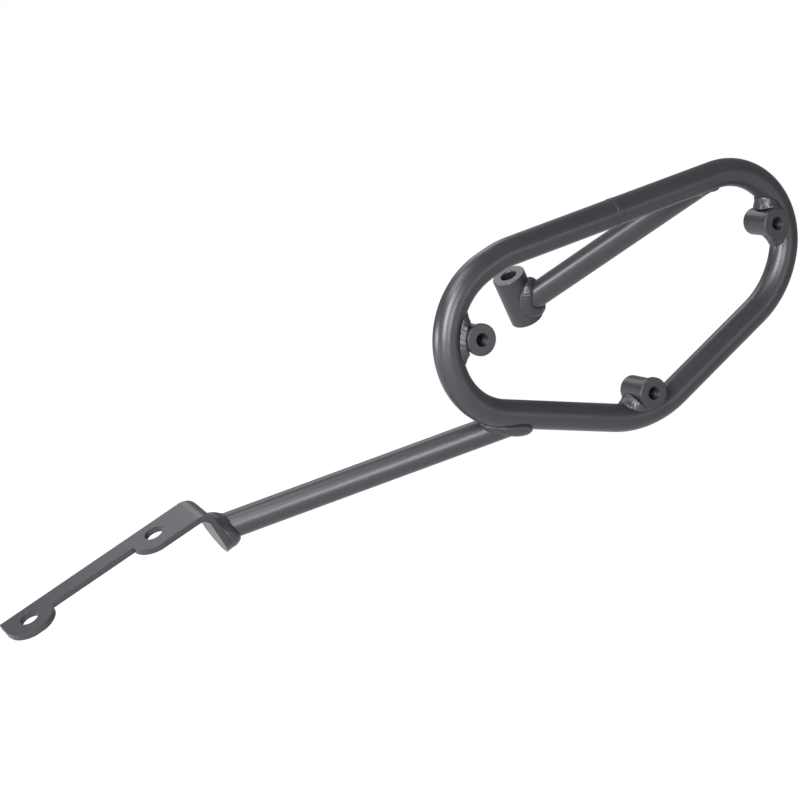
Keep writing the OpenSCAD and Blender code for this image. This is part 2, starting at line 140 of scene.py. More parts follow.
def node(tree, kind, links=None, **values):
    """Adds a node, sets its properties and inputs, and links what feeds it."""
    made = tree.nodes.new(kind)
    for name, value in values.items():
        socket = made.inputs.get(name.replace("_", " "))
        if hasattr(made, name):
            setattr(made, name, value)
        elif socket is not None:
            socket.default_value = value
        else:
            raise RuntimeError(f"{kind} has no {name}")
    for name, source in (links or {}).items():
        tree.links.new(source, made.inputs[name])
    return made


def new_material(name):
    mat = bpy.data.materials.new(name)
    mat.use_nodes = True
    mat.node_tree.nodes.clear()
    return mat, mat.node_tree


# The coat's faint clouds are this wide in millimetres. The clouds and the fine
# grain lighten and darken its colour by these shares.
CLOUD = 45.0
CLOUD_SHADES = (0.93, 1.07)
GRAIN_SHADES = (0.88, 1.1)
# How much smoother and rougher the coat is than its mean, over its grain
SMOOTHER, ROUGHER = 0.05, 0.06


def coat_material(name, settings, lumps):
    """Satin powder coat over steel: a fine grain that breaks up the light, a slow
    orange peel that makes the highlights waver, and a faint change of shade.
    lumps is how many times deeper the peel is than on a plain tube."""
    mat, tree = new_material(name)
    place = node(tree, "ShaderNodeTexCoord").outputs["Object"]
    grain = node(tree, "ShaderNodeTexNoise", {"Vector": place},
                 Scale=per_mm(settings.grain), Detail=3.0, Roughness=0.6)
    peel = node(tree, "ShaderNodeTexNoise", {"Vector": place},
                Scale=per_mm(settings.peel), Detail=2.0, Roughness=0.5)
    cloud = node(tree, "ShaderNodeTexNoise", {"Vector": place},
                 Scale=per_mm(CLOUD), Detail=3.0, Roughness=0.55)
    shade = node(tree, "ShaderNodeValToRGB", {"Fac": cloud.outputs["Fac"]})
    for stop, at, share in zip(shade.color_ramp.elements, (0.3, 0.7), CLOUD_SHADES):
        stop.position, stop.color = at, (*[c * share for c in settings.colour], 1)
    speck = node(tree, "ShaderNodeValToRGB", {"Fac": grain.outputs["Fac"]})
    for stop, at, share in zip(speck.color_ramp.elements, (0.35, 0.65), GRAIN_SHADES):
        stop.position, stop.color = at, (share, share, share, 1)
    colour = node(tree, "ShaderNodeMix", data_type="RGBA", blend_type="MULTIPLY")
    factor, under, over = colour.inputs[0], colour.inputs[6], colour.inputs[7]
    factor.default_value = 1.0
    tree.links.new(shade.outputs["Color"], under)
    tree.links.new(speck.outputs["Color"], over)
    rough = node(tree, "ShaderNodeMapRange", {"Value": grain.outputs["Fac"]},
                 From_Min=0.3, From_Max=0.7,
                 To_Min=settings.roughness - SMOOTHER, To_Max=settings.roughness + ROUGHER)
    slow = node(tree, "ShaderNodeBump", {"Height": peel.outputs["Fac"]},
                Strength=0.5, Distance=settings.peel_depth * lumps)
    fine = node(tree, "ShaderNodeBump",
                {"Height": grain.outputs["Fac"], "Normal": slow.outputs["Normal"]},
                Strength=0.6, Distance=settings.grain_depth)
    skin = node(tree, "ShaderNodeBsdfPrincipled",
                {"Base Color": colour.outputs[2], "Roughness": rough.outputs["Result"],
                 "Normal": fine.outputs["Normal"]},
                IOR=1.5, Specular_IOR_Level=0.6)
    node(tree, "ShaderNodeOutputMaterial", {"Surface": skin.outputs["BSDF"]})
    return mat


def thread_material():
    """Cut steel in the threaded holes: dark, oiled and finely ringed by the tap."""
    tap_mark, mark_depth = 0.25, 0.03 * MM
    mat, tree = new_material("cut_thread_steel")
    place = node(tree, "ShaderNodeTexCoord").outputs["Object"]
    rings = node(tree, "ShaderNodeTexNoise", {"Vector": place},
                 Scale=per_mm(tap_mark), Detail=2.0)
    bump = node(tree, "ShaderNodeBump", {"Height": rings.outputs["Fac"]},
                Strength=0.3, Distance=mark_depth)
    tone = node(tree, "ShaderNodeValToRGB", {"Fac": rings.outputs["Fac"]})
    for stop, code in zip(tone.color_ramp.elements, ("0E0E10", "232225")):
        stop.color = (*srgb(code), 1)
    skin = node(tree, "ShaderNodeBsdfPrincipled",
                {"Base Color": tone.outputs["Color"], "Normal": bump.outputs["Normal"]},
                Metallic=0.5, Roughness=0.45)
    node(tree, "ShaderNodeOutputMaterial", {"Surface": skin.outputs["BSDF"]})
    return mat


# How white the room is in reflections, where 1 is what the camera sees
REFLECTED_WHITE = 0.28


def seen_as_white(tree):
    """1 for the camera's rays, which see a white room, and less for those of
    reflections, which see a pale one."""
    path = node(tree, "ShaderNodeLightPath")
    pale = node(tree, "ShaderNodeMath", {0: path.outputs["Is Glossy Ray"]},
                operation="MULTIPLY")
    pale.inputs[1].default_value = REFLECTED_WHITE
    return node(tree, "ShaderNodeMath",
                {0: path.outputs["Is Camera Ray"], 1: pale.outputs[0]},
                operation="MAXIMUM").outputs[0]


# Settings

class PannierCoatSettings(bpy.types.PropertyGroup):
    colour: FloatVectorProperty(name="Colour", subtype="COLOR", size=3, min=0, max=1,
                                default=srgb("27252B"),
                                description="Colour of the powder coat")
    roughness: FloatProperty(name="Roughness", default=0.33, min=0.1, max=0.9,
                             description="Roughness of the powder coat")
    grain: FloatProperty(name="Grain", default=0.55, min=0.1, max=3,
                         description="Size of the coat's fine texture in millimetres")
    grain_depth: FloatProperty(name="Grain Depth", default=0.006 * MM, unit="LENGTH",
                               description="Depth of the coat's fine texture")
    peel: FloatProperty(name="Orange Peel", default=3.2, min=0.5, max=12,
                        description="Size of the coat's slow waves in millimetres")
    peel_depth: FloatProperty(name="Orange Peel Depth", default=0.05 * MM, unit="LENGTH",
                              description="Depth of the coat's slow waves")


class PannierLoopSettings(bpy.types.PropertyGroup):
    sides: IntProperty(name="Sides", default=56, min=16, max=128,
                       description="Sides of the tube's section")
    step: FloatProperty(name="Step", default=2.2 * MM, unit="LENGTH",
                        description="Length of a step along the tube")


class PannierTurnedSettings(bpy.types.PropertyGroup):
    sides: IntProperty(name="Sides", default=64, min=24, max=160,
                       description="Sides of the turned pieces")
    collar_r: FloatProperty(name="Collar Radius", default=10.0 * MM, unit="LENGTH",
                            description="Radius of a boss's collar")
    collar_t: FloatProperty(name="Collar Thickness", default=3.5 * MM, unit="LENGTH",
                            description="Thickness of a boss's collar")
    boss_r: FloatProperty(name="Boss Radius", default=8.75 * MM, unit="LENGTH",
                          description="Radius of a boss's body")
    boss_len: FloatProperty(name="Boss Length", default=25.0 * MM, unit="LENGTH",
                            description="Length of a boss with its collar")
    edge: FloatProperty(name="Edge", default=0.7 * MM, unit="LENGTH",
                        description="Radius of the coated outer edges")
    mouth: FloatProperty(name="Mouth Chamfer", default=1.0 * MM, unit="LENGTH",
                         description="Depth of the chamfer at a threaded hole's mouth")
    pitch: FloatProperty(name="Thread Pitch", default=1.25 * MM, unit="LENGTH",
                         description="Pitch of the thread in a boss")
    thread_depth: FloatProperty(name="Thread Depth", default=0.6 * MM, unit="LENGTH",
                                description="Depth of the thread in a boss")
    sleeve_r: FloatProperty(name="Sleeve Radius", default=11.25 * MM, unit="LENGTH",
                            description="Radius of the mounting sleeve")


class PannierBracketSettings(bpy.types.PropertyGroup):
    edge: FloatProperty(name="Edge", default=0.45 * MM, unit="LENGTH",
                        description="Radius of the coated edges of the bracket")
    edge_steps: IntProperty(name="Edge Steps", default=3, min=1, max=6,
                            description="Steps of the rounded edges")


class PannierWeldSettings(bpy.types.PropertyGroup):
    pitch: FloatProperty(name="Ripple Pitch", default=1.9 * MM, unit="LENGTH",
                         description="Distance between the ripples of a weld")
    height: FloatProperty(name="Ripple Height", default=0.24 * MM, unit="LENGTH",
                          description="Height of the ripples of a weld")
    lump: FloatProperty(name="Unevenness", default=0.32 * MM, unit="LENGTH",
                        description="How far a weld's face wanders along its length")
    levels: IntProperty(name="Smoothing", default=2, min=1, max=3,
                        description="Subdivision levels of a weld")


class PannierStageSettings(bpy.types.PropertyGroup):
    floor_drop: FloatProperty(name="Floor Drop", default=100 * MM, unit="LENGTH",
                              description="Distance from the lowest point down to the floor")
    key: FloatProperty(name="Key Light", default=34.0, min=0, subtype="POWER",
                       description="Power of the large softbox at the left")
    front: FloatProperty(name="Front Light", default=13.0, min=0, subtype="POWER",
                         description="Power of the softbox beside the camera")
    side: FloatProperty(name="Side Light", default=9.0, min=0, subtype="POWER",
                        description="Power of the softbox at the left, a little behind")
    fill: FloatProperty(name="Fill Light", default=3.0, min=0, subtype="POWER",
                        description="Power of the softbox at the right")
    top: FloatProperty(name="Top Light", default=11.0, min=0, subtype="POWER",
                       description="Power of the softbox high at the left")
    rim: FloatProperty(name="Rim Light", default=4.5, min=0, subtype="POWER",
                       description="Power of the softbox high behind the object")
    sky: FloatProperty(name="Surround", default=0.1, min=0, max=2,
                       description="Strength of the even light from all round")


GROUPS = {
    "pannier_coat": PannierCoatSettings,
    "pannier_loop": PannierLoopSettings,
    "pannier_turned": PannierTurnedSettings,
    "pannier_bracket": PannierBracketSettings,
    "pannier_welds": PannierWeldSettings,
    "pannier_stage": PannierStageSettings,
}


# Mesh helpers

def coats(context):
    """The two coat materials, made once: plain tube and plate, and welds."""
    settings = context.scene.pannier_coat
    made = bpy.data.materials
    plain = made.get("satin_powder_coat") or coat_material("satin_powder_coat", settings, 1.0)
    weld = made.get("coated_weld_bead") or coat_material("coated_weld_bead", settings, 2.5)
    return plain, weld


def cad(name):
    """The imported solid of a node."""
    found = frame["nodes"].get(name)
    if found is None:
        raise RuntimeError(f"the model has no node {name}")
    return found


def mount(name):
    """Middle, direction and sizes of a mount, in metres and millimetres."""
    for entry in frame["record"]["mounts"]:
        if entry["name"] == name:
            return (np.array(entry["pos_m"]), np.array(entry["axis"], float),
                    entry["dims"])
    raise RuntimeError(f"the record has no mount {name}")


def settle(piece, node_name):
    """Puts a piece in the scene in place of a node, fixed to the root."""
    bpy.context.scene.collection.objects.link(piece)
    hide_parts(node_name)
    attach(piece, "root")
    return piece


def add_piece(name, verts, faces, materials, node_name, face_material=None):
    """Adds a smooth mesh piece that stands for a node and rides on the root."""
    mesh = bpy.data.meshes.new(name)
    mesh.from_pydata([tuple(v) for v in verts], [], faces)
    for material in materials:
        mesh.materials.append(material)
    if face_material is not None:
        mesh.polygons.foreach_set("material_index", face_material)
    mesh.polygons.foreach_set("use_smooth", [True] * len(mesh.polygons))
    mesh.update()
    if mesh.validate():
        raise RuntimeError(f"{name} came out with bad faces")
    return settle(bpy.data.objects.new(name, mesh), node_name)


def weigh_normals(piece):
    """Keeps the flats flat beside their small rounded edges."""
    weighted = piece.modifiers.new("flat faces stay flat", "WEIGHTED_NORMAL")
    weighted.keep_sharp = True
    weighted.weight = 80


def grid_faces(rows, columns):
    """Quads of a grid of rows that closes along its columns and its rows."""
    faces = []
    for i in range(rows):
        a, b = i * columns, ((i + 1) % rows) * columns
        for j in range(columns):
            k = (j + 1) % columns
            faces.append((a + j, a + k, b + k, b + j))
    return faces


# Loop

def heading(angle):
    """Unit vector in the loop's plane at an angle in degrees."""
    return np.array([cos(radians(angle)), 0.0, sin(radians(angle))])


def bend_step(radius, turn, angle):
    """Way from the start of a bend that starts at angle to its point at turn."""
    a, b = radians(angle), radians(angle + turn)
    return radius * np.array([sin(b) - sin(a), 0.0, cos(a) - cos(b)])


def loop_rows():
    """The bender's table with its last turn and its two open straights solved."""
    turn = 360 - sum(row[1] for row in LOOP_BENDS[:-1])
    rows = [list(row) for row in LOOP_BENDS]
    rows[-1][1] = turn
    angle, miss, rear = 180 + TOP_RISE, np.zeros(3), None
    for radius, bend, run in rows:
        miss -= bend_step(radius, bend, angle)
        angle += bend
        if run is not None:
            miss -= run * heading(angle)
        elif rear is None:
            rear = angle
    top = radians(180 + TOP_RISE)
    rear = radians(rear)
    span = sin(top - rear)
    rows[LOW_REAR][2] = (miss[0] * sin(top) - miss[2] * cos(top)) / span
    rows[-1][2] = (miss[2] * cos(rear) - miss[0] * sin(rear)) / span
    return rows


def loop_path(step):
    """Points of the loop's centreline in metres, from the end of the top run.
    The points of a straight lie three times as far apart as those of a bend."""
    least_points = 3
    angle, at, points, nose = 180 + TOP_RISE, np.zeros(3), [], None
    for i, (radius, bend, run) in enumerate(loop_rows()):
        if i == NOSE:
            nose = at + radius * heading(angle + 90)
        count = max(least_points, ceil(radians(bend) * radius * MM / step))
        points += [at + bend_step(radius, bend * k / count, angle) for k in range(count)]
        at = at + bend_step(radius, bend, angle)
        angle += bend
        count = max(1, ceil(run * MM / (3 * step)))
        points += [at + run * k / count * heading(angle) for k in range(count)]
        at = at + run * heading(angle)
    start = (FRONT_BOSS_INSET - LOOP_BENDS[NOSE][0]) * heading(FRONT_BOSS_ANGLE) - nose
    start[1] = LOOP_PLANE
    return (np.array(points) + start) * MM


class PANNIER_OT_loop(bpy.types.Operator):
    """Sweeps the loop's round tube along its bends"""
    bl_idname = "pannier.loop"
    bl_label = "Loop Tube"

    def execute(self, context):
        settings = context.scene.pannier_loop
        path = loop_path(settings.step)
        along = np.roll(path, -1, 0) - np.roll(path, 1, 0)
        along /= np.linalg.norm(along, axis=1)[:, None]
        outward = np.cross(along, INBOARD)
        turns = np.arange(settings.sides) * tau / settings.sides
        verts = (path[:, None, :] + LOOP_R * MM * (
            np.cos(turns)[None, :, None] * outward[:, None, :]
            + np.sin(turns)[None, :, None] * INBOARD)).reshape(-1, 3)
        plain, _ = coats(context)
        add_piece("loop_tube_dressed", verts, grid_faces(len(path), settings.sides),
                  [plain], "loop_tube")
        return {"FINISHED"}


class PANNIER_OT_tubes(bpy.types.Operator):
    """Gives the arm and the strut their powder coat"""
    bl_idname = "pannier.tubes"
    bl_label = "Arm and Strut"

    def execute(self, context):
        plain, _ = coats(context)
        for name in TUBES:
            for place in cad(name).material_slots:
                place.material = plain
        return {"FINISHED"}


# Turned pieces

# The groove of a thread takes this share of half a pitch, and the crests stand
# this far into the drilled bore
GROOVE_SHARE = 0.4375
CREST_IN = 0.05 * MM
THREAD_LEVELS = 150
BODY_LEVELS = 40
# Radius where the collar meets the body, and the clear lengths kept beside the
# rounded edges of the body
NECK_R = 0.3 * MM
NECK_CLEAR = 0.5 * MM
FOOT_CLEAR = 0.2 * MM
# A boss is left out where it lies this deep or deeper inside the loop's skin
SUNK = 0.8
SLEEVE_LEVELS = 20
# The sleeve's bore opens by this much at its ends, over a rounded edge
SLEEVE_LIP = 0.6 * MM
SLEEVE_BORE_EDGE = 0.4 * MM
OUT_SLANT, IN_SLANT = (-0.7, 0.7), (0.7, 0.7)
UP, DOWN, OUT, IN = (0, 1), (0, -1), (1, 0), (-1, 0)


def rounded(corner, way_in, way_out, radius, steps=4):
    """Rows of a rounded edge at a corner of a profile of radius and height."""
    corner, a, b = np.array(corner), np.array(way_in), np.array(way_out)
    start, end = corner - radius * a, corner + radius * b
    rows = []
    for k in range(steps + 1):
        t = k / steps
        rows.append(tuple((1 - t) ** 2 * start + 2 * t * (1 - t) * corner + t * t * end))
    return rows


def turned_piece(name, at, axis, rows, bore_rows, settings, materials, node_name, keep=None):
    """Turns a closed profile round an axis. rows are (radius, height) pairs of
    the outside, and bore_rows are (function of the angle, height) pairs."""
    across = Vector((0, 0, 1)).rotation_difference(Vector(axis)).to_matrix()
    x, y = np.array(across.col[0]), np.array(across.col[1])
    turns = np.arange(settings.sides) * tau / settings.sides
    rings = [np.full(settings.sides, r) for r, _ in rows]
    rings += [np.array([f(t) for t in turns]) for f, _ in bore_rows]
    heights = [h for _, h in rows] + [h for _, h in bore_rows]
    verts = np.concatenate([
        at + h * axis + r[:, None] * (np.cos(turns)[:, None] * x + np.sin(turns)[:, None] * y)
        for r, h in zip(rings, heights)])
    faces = grid_faces(len(rings), settings.sides)
    bore_from = len(rows) * settings.sides
    inner = [int(f[0] >= bore_from and f[2] >= bore_from) for f in faces]
    if keep is not None:
        chosen = [i for i, f in enumerate(faces) if keep(verts[list(f)])]
        faces, inner = [faces[i] for i in chosen], [inner[i] for i in chosen]
    piece = add_piece(name, verts, faces, materials, node_name, inner)
    clean = bmesh.new()
    clean.from_mesh(piece.data)
    loose = [v for v in clean.verts if not v.link_faces]
    bmesh.ops.delete(clean, geom=loose, context="VERTS")
    bmesh.ops.recalc_face_normals(clean, faces=clean.faces)
    clean.to_mesh(piece.data)
    clean.free()
    weigh_normals(piece)


class PANNIER_OT_bosses(bpy.types.Operator):
    """Turns the three bosses and taps their holes"""
    bl_idname = "pannier.bosses"
    bl_label = "Threaded Bosses"

    def execute(self, context):
        s = context.scene.pannier_turned
        path = loop_path(2 * MM)
        plain, _ = coats(context)
        steel = thread_material()

        def outside_loop(corners):
            gaps = np.linalg.norm(path[None, :, :] - corners[:, None, :], axis=2).min(1)
            return gaps.max() > (LOOP_R - SUNK) * MM

        half = s.boss_len / 2
        levels = [(2 * (k + 0.5) / THREAD_LEVELS - 1) * half for k in range(THREAD_LEVELS)]
        for name in BOSSES:
            at, axis, dims = mount(name)
            crest = dims["r_mm"] * MM - CREST_IN
            turned_piece(f"{name}_threaded", at, axis, self.outside(s, half, crest + s.mouth),
                         [(self.thread(s, half, crest, h), h) for h in levels],
                         s, [plain, steel], name, keep=outside_loop)
        return {"FINISHED"}

    def outside(self, s, half, lip):
        """Profile of a boss from the mouth of its hole round to the other mouth."""
        under = half - s.collar_t
        rows = [(lip, half)]
        rows += rounded((s.collar_r, half), OUT, DOWN, s.edge)
        rows += rounded((s.collar_r, under), DOWN, IN, s.edge)
        rows += rounded((s.boss_r, under), IN, DOWN, NECK_R, 3)
        top, low = under - NECK_CLEAR, -half + s.edge + FOOT_CLEAR
        rows += [(s.boss_r, top + (low - top) * k / BODY_LEVELS) for k in range(1, BODY_LEVELS)]
        rows += rounded((s.boss_r, -half), DOWN, IN, s.edge)
        return rows + [(lip, -half)]

    def thread(self, s, half, crest, height):
        """Radius of the threaded hole as a function of the angle at a height."""
        cone = crest + s.mouth - (half - abs(height))

        def radius(turn):
            phase = (height / s.pitch - turn / tau) % 1.0
            groove = max(0.0, 1 - abs(phase - 0.5) / GROOVE_SHARE)
            return max(crest + s.thread_depth * groove, cone)
        return radius


class PANNIER_OT_sleeve(bpy.types.Operator):
    """Turns the mounting sleeve at the end of the strut"""
    bl_idname = "pannier.sleeve"
    bl_label = "Mounting Sleeve"

    def execute(self, context):
        s = context.scene.pannier_turned
        at, axis, dims = mount("sleeve_bore")
        half, bore_r = dims["length_mm"] * MM / 2, dims["r_mm"] * MM
        rows = [(bore_r + SLEEVE_LIP, half)]
        rows += rounded((s.sleeve_r, half), OUT, DOWN, s.edge)
        rows += [(s.sleeve_r, half * (1 - 2 * k / SLEEVE_LEVELS)) for k in range(1, SLEEVE_LEVELS)]
        rows += rounded((s.sleeve_r, -half), DOWN, IN, s.edge)
        rows += [(bore_r + SLEEVE_LIP, -half)]
        inside = rounded((bore_r, -half + SLEEVE_LIP), OUT_SLANT, UP, SLEEVE_BORE_EDGE)
        inside += rounded((bore_r, half - SLEEVE_LIP), UP, IN_SLANT, SLEEVE_BORE_EDGE)
        plain, _ = coats(context)
        turned_piece("mounting_sleeve_turned", at, axis, rows,
                     [((lambda turn, r=r: r), h) for r, h in inside],
                     s, [plain, plain], "mounting_sleeve")
        return {"FINISHED"}


# Bracket

# Faces that differ by less than the first angle are one flat, and edges
# sharper than the second are rounded
FLAT_ANGLE = radians(0.6)
RIM_ANGLE = radians(40)


class PANNIER_OT_bracket(bpy.types.Operator):
    """Rounds the coated edges of the bent bracket"""
    bl_idname = "pannier.bracket"
    bl_label = "Bracket"

    def execute(self, context):
        s = context.scene.pannier_bracket
        plain, _ = coats(context)
        mesh = cad("bracket_plate").data.copy()
        mesh.name = "bracket_rounded"
        work = bmesh.new()
        work.from_mesh(mesh)
        bmesh.ops.remove_doubles(work, verts=work.verts, dist=MERGE)
        bmesh.ops.dissolve_limit(work, angle_limit=FLAT_ANGLE, verts=work.verts,
                                 edges=work.edges)
        rims = [e for e in work.edges if e.is_manifold and e.calc_face_angle(0) > RIM_ANGLE]
        bmesh.ops.bevel(work, geom=rims, offset=s.edge, segments=s.edge_steps,
                        profile=0.5, affect="EDGES", clamp_overlap=True)
        for face in work.faces:
            face.smooth = True
            face.material_index = 0
        work.to_mesh(mesh)
        work.free()
        mesh.materials.clear()
        mesh.materials.append(plain)
        piece = settle(bpy.data.objects.new("bracket_rounded", mesh), "bracket_plate")
        weigh_normals(piece)
        return {"FINISHED"}


# Welds

SEAM_STEPS = 90
# How far each ripple bows, as a share of the pitch, and the least count
RIPPLE_BOW = 0.35
LEAST_RIPPLES = 6
# Slow lumps round a weld: waves in the round, height and shift from weld to weld
LUMPS = ((3, 0.5, 1.0), (7, 0.3, 2.1), (11, 0.2, 0.7))
# The butt weld of the loop was dressed, so its ripples are this much of the others'
DRESSED = 0.3
# How much lower the bracket's weld is on top, in millimetres
TAB_TRIM = 1.4
# The heel of the arm's weld on the loop, in millimetres: its length, how much
# fuller it is underneath, and how much its tip is thinned and drawn in
HEEL_RUN = 28.0
HEEL_FILL = 2.6
HEEL_TAPER = 0.9
HEEL_DRAW = 4.0
# Webs beside a boss, in millimetres: the height above the loop where they end,
# the distance from the boss where they are in full, and how hollow they are
WEB_RISE = 7.0
WEB_SPREAD = 6.0
WEB_HOLLOW = 1.2


def seam_table(points):
    """Centre, plane and table of angle to arc length of a closed bead."""
    centre = points.mean(0)
    _, _, axes = np.linalg.svd(points - centre)
    x, y, out = axes
    angle = np.arctan2((points - centre) @ y, (points - centre) @ x)
    bins = np.floor((angle + pi) / tau * SEAM_STEPS).astype(int) % SEAM_STEPS
    used = [k for k in range(SEAM_STEPS) if (bins == k).any()]
    path = np.array([points[bins == k].mean(0) for k in used])
    marks = np.array([-pi + (k + 0.5) * tau / SEAM_STEPS for k in used])
    lengths = np.linalg.norm(np.roll(path, -1, 0) - path, axis=1)
    run = np.concatenate([[0], np.cumsum(lengths)])
    marks = np.concatenate([marks, [marks[0] + tau]])
    return centre, x, y, out, marks, run


def ripple_lift(points, s, number):
    """How far each point of a weld stands out: crescent ripples and slow lumps."""
    centre, x, y, out, marks, run = seam_table(points)
    rel = points - centre
    angle = np.arctan2(rel @ y, rel @ x)
    angle = np.where(angle < marks[0], angle + tau, angle)
    length = np.interp(angle, marks, run)
    total = run[-1]
    across = rel @ out
    bow = RIPPLE_BOW * s.pitch * (across / (np.abs(across).max() + 1e-9)) ** 2
    waves = max(LEAST_RIPPLES, round(total / s.pitch))
    scallop = np.abs(np.sin(pi * (length + bow) / total * waves)) - 0.5
    turn = length / total * tau
    lumps = sum(high * np.sin(count * turn + shift * number) for count, high, shift in LUMPS)
    return s.height * scallop + s.lump * lumps


def shape_heel(points, normals, lift):
    """Fills the heel of the arm's weld underneath and draws in its tip."""
    tail = np.clip((points[:, 0] - points[:, 0].max()) / (HEEL_RUN * MM) + 1, 0, 1)
    lift = lift + HEEL_FILL * MM * np.sin(pi * tail) * np.clip(-normals[:, 2], 0, 1)
    lift -= HEEL_TAPER * MM * tail ** 5
    points = points.copy()
    points[:, 0] -= HEEL_DRAW * MM * tail ** 3
    return points, lift


def draw_web(points, at, reach):
    """Slides the parts of a boss's weld that lie on the loop along it, away
    from the boss, which leaves a hollow web in each corner."""
    path = loop_path(0.5 * MM)
    along = np.roll(path, -1, 0) - path
    run = np.concatenate([[0], np.cumsum(np.linalg.norm(along, axis=1))])
    along /= np.linalg.norm(along, axis=1)[:, None]
    outward = np.cross(along, INBOARD)
    wrap = np.vstack([path, path[:1]])
    wrap_out = np.vstack([outward, outward[:1]])

    def foot(p):
        k = np.linalg.norm(path[None] - p[:, None], axis=2).argmin(1)
        rel = p - path[k]
        return (run[k] + (rel * along[k]).sum(1), (rel * outward[k]).sum(1), rel @ INBOARD)

    home = foot(np.array([at]))[0][0]
    place, out, across = foot(points)
    gap = np.hypot(out, across) - LOOP_R * MM
    near = np.clip(1 - gap / (WEB_RISE * MM), 0, 1) ** WEB_HOLLOW
    way = np.clip((place - home) / (WEB_SPREAD * MM), -1, 1)
    place = (place + way * near * reach * MM) % run[-1]
    centre = np.stack([np.interp(place, run, wrap[:, i]) for i in range(3)], 1)
    normal = np.stack([np.interp(place, run, wrap_out[:, i]) for i in range(3)], 1)
    return centre + out[:, None] * normal + across[:, None] * INBOARD


class PANNIER_OT_welds(bpy.types.Operator):
    """Turns each weld's plain bead into a rippled, uneven one"""
    bl_idname = "pannier.welds"
    bl_label = "Welds"

    def execute(self, context):
        s = context.scene.pannier_welds
        _, weld = coats(context)
        for number, name in enumerate(WELDS):
            mesh = self.smooth_bead(context, name, s.levels)
            self.ripple(mesh, s, number, name)
            mesh.materials.clear()
            mesh.materials.append(weld)
            mesh.polygons.foreach_set("material_index", [0] * len(mesh.polygons))
            mesh.polygons.foreach_set("use_smooth", [True] * len(mesh.polygons))
            settle(bpy.data.objects.new(f"{name}_bead", mesh), name)
        return {"FINISHED"}

    def smooth_bead(self, context, name, levels):
        """A finely divided copy of a weld's solid, in four-sided faces."""
        work = bmesh.new()
        work.from_mesh(cad(name).data)
        bmesh.ops.remove_doubles(work, verts=work.verts, dist=MERGE)
        bmesh.ops.join_triangles(work, faces=work.faces, angle_face_threshold=radians(40),
                                 angle_shape_threshold=radians(60))
        mesh = bpy.data.meshes.new(f"{name}_plain")
        work.to_mesh(mesh)
        work.free()
        bead = bpy.data.objects.new(f"{name}_plain", mesh)
        context.scene.collection.objects.link(bead)
        smooth = bead.modifiers.new("smooth", "SUBSURF")
        smooth.levels = smooth.render_levels = levels
        graph = context.evaluated_depsgraph_get()
        final = bpy.data.meshes.new_from_object(bead.evaluated_get(graph), depsgraph=graph)
        bpy.data.objects.remove(bead)
        return final

    def ripple(self, mesh, s, number, name):
        """Raises the ripples and lumps of a bead, and fills it out."""
        count = len(mesh.vertices)
        points = np.empty(count * 3)
        normals = np.empty(count * 3)
        mesh.vertices.foreach_get("co", points)
        mesh.vertex_normals.foreach_get("vector", normals)
        points, normals = points.reshape(-1, 3), normals.reshape(-1, 3)
        lift = ripple_lift(points, s, number)
        if name == "loop_seam_weld":
            lift = DRESSED * lift
        lift = lift + WELD_FILL.get(name, 0) * MM
        if name == "arm_bracket_weld":
            lift -= TAB_TRIM * MM * np.clip(normals[:, 2], 0, 1)
        if name == "arm_loop_weld":
            points, lift = shape_heel(points, normals, lift)
        points = points + normals * lift[:, None]
        if name in WEB_REACH:
            points = draw_web(points, mount(name.removesuffix("_weld"))[0], WEB_REACH[name])
        mesh.vertices.foreach_set("co", points.reshape(-1))
        mesh.update()


# Stage

# The view of the photograph: where the camera looks, from where, and its lens
TARGET = Vector((-15.3, 60.5, -44.4)) * MM
AZIMUTH = -30.0
ELEVATION = 8.0
DISTANCE = 1750 * MM
LENS = 125.8
SENSOR = 36
CLIP = (0.05, 50)

# Each softbox: azimuth and elevation from the object, and distance and size in metres
SOFTBOXES = {
    "key": (-54, 18, 1.6, (0.5, 1.2)),
    "front": (-19, 9, 1.7, (0.5, 0.7)),
    "side": (-118, -1, 1.4, (0.6, 0.3)),
    "fill": (24, 4, 1.8, (0.8, 0.6)),
    "top": (-92, 52, 1.5, (0.9, 0.8)),
    "rim": (178, 46, 1.6, (1.0, 0.7)),
}

# The floor, in metres: half its side, its tiles along a side, and the
# distances between which it turns from nearly white to white
FLOOR_REACH = 12.0
FLOOR_TILES = 24
FLOOR_FADE = (0.7, 3.0)


def direction(azimuth, elevation):
    """Unit vector from the object towards a place at that azimuth and elevation."""
    a, e = radians(azimuth), radians(elevation)
    return Vector((sin(a) * cos(e), -cos(a) * cos(e), sin(e)))


def softbox(name, azimuth, elevation, distance, size, power):
    """A rectangular light that faces the object."""
    data = bpy.data.lights.new(name, "AREA")
    data.shape = "RECTANGLE"
    data.size, data.size_y = size
    data.energy = power
    lamp = bpy.data.objects.new(name, data)
    way = direction(azimuth, elevation)
    lamp.location = TARGET + way * distance
    lamp.rotation_euler = way.to_track_quat("Z", "Y").to_euler()
    bpy.context.scene.collection.objects.link(lamp)


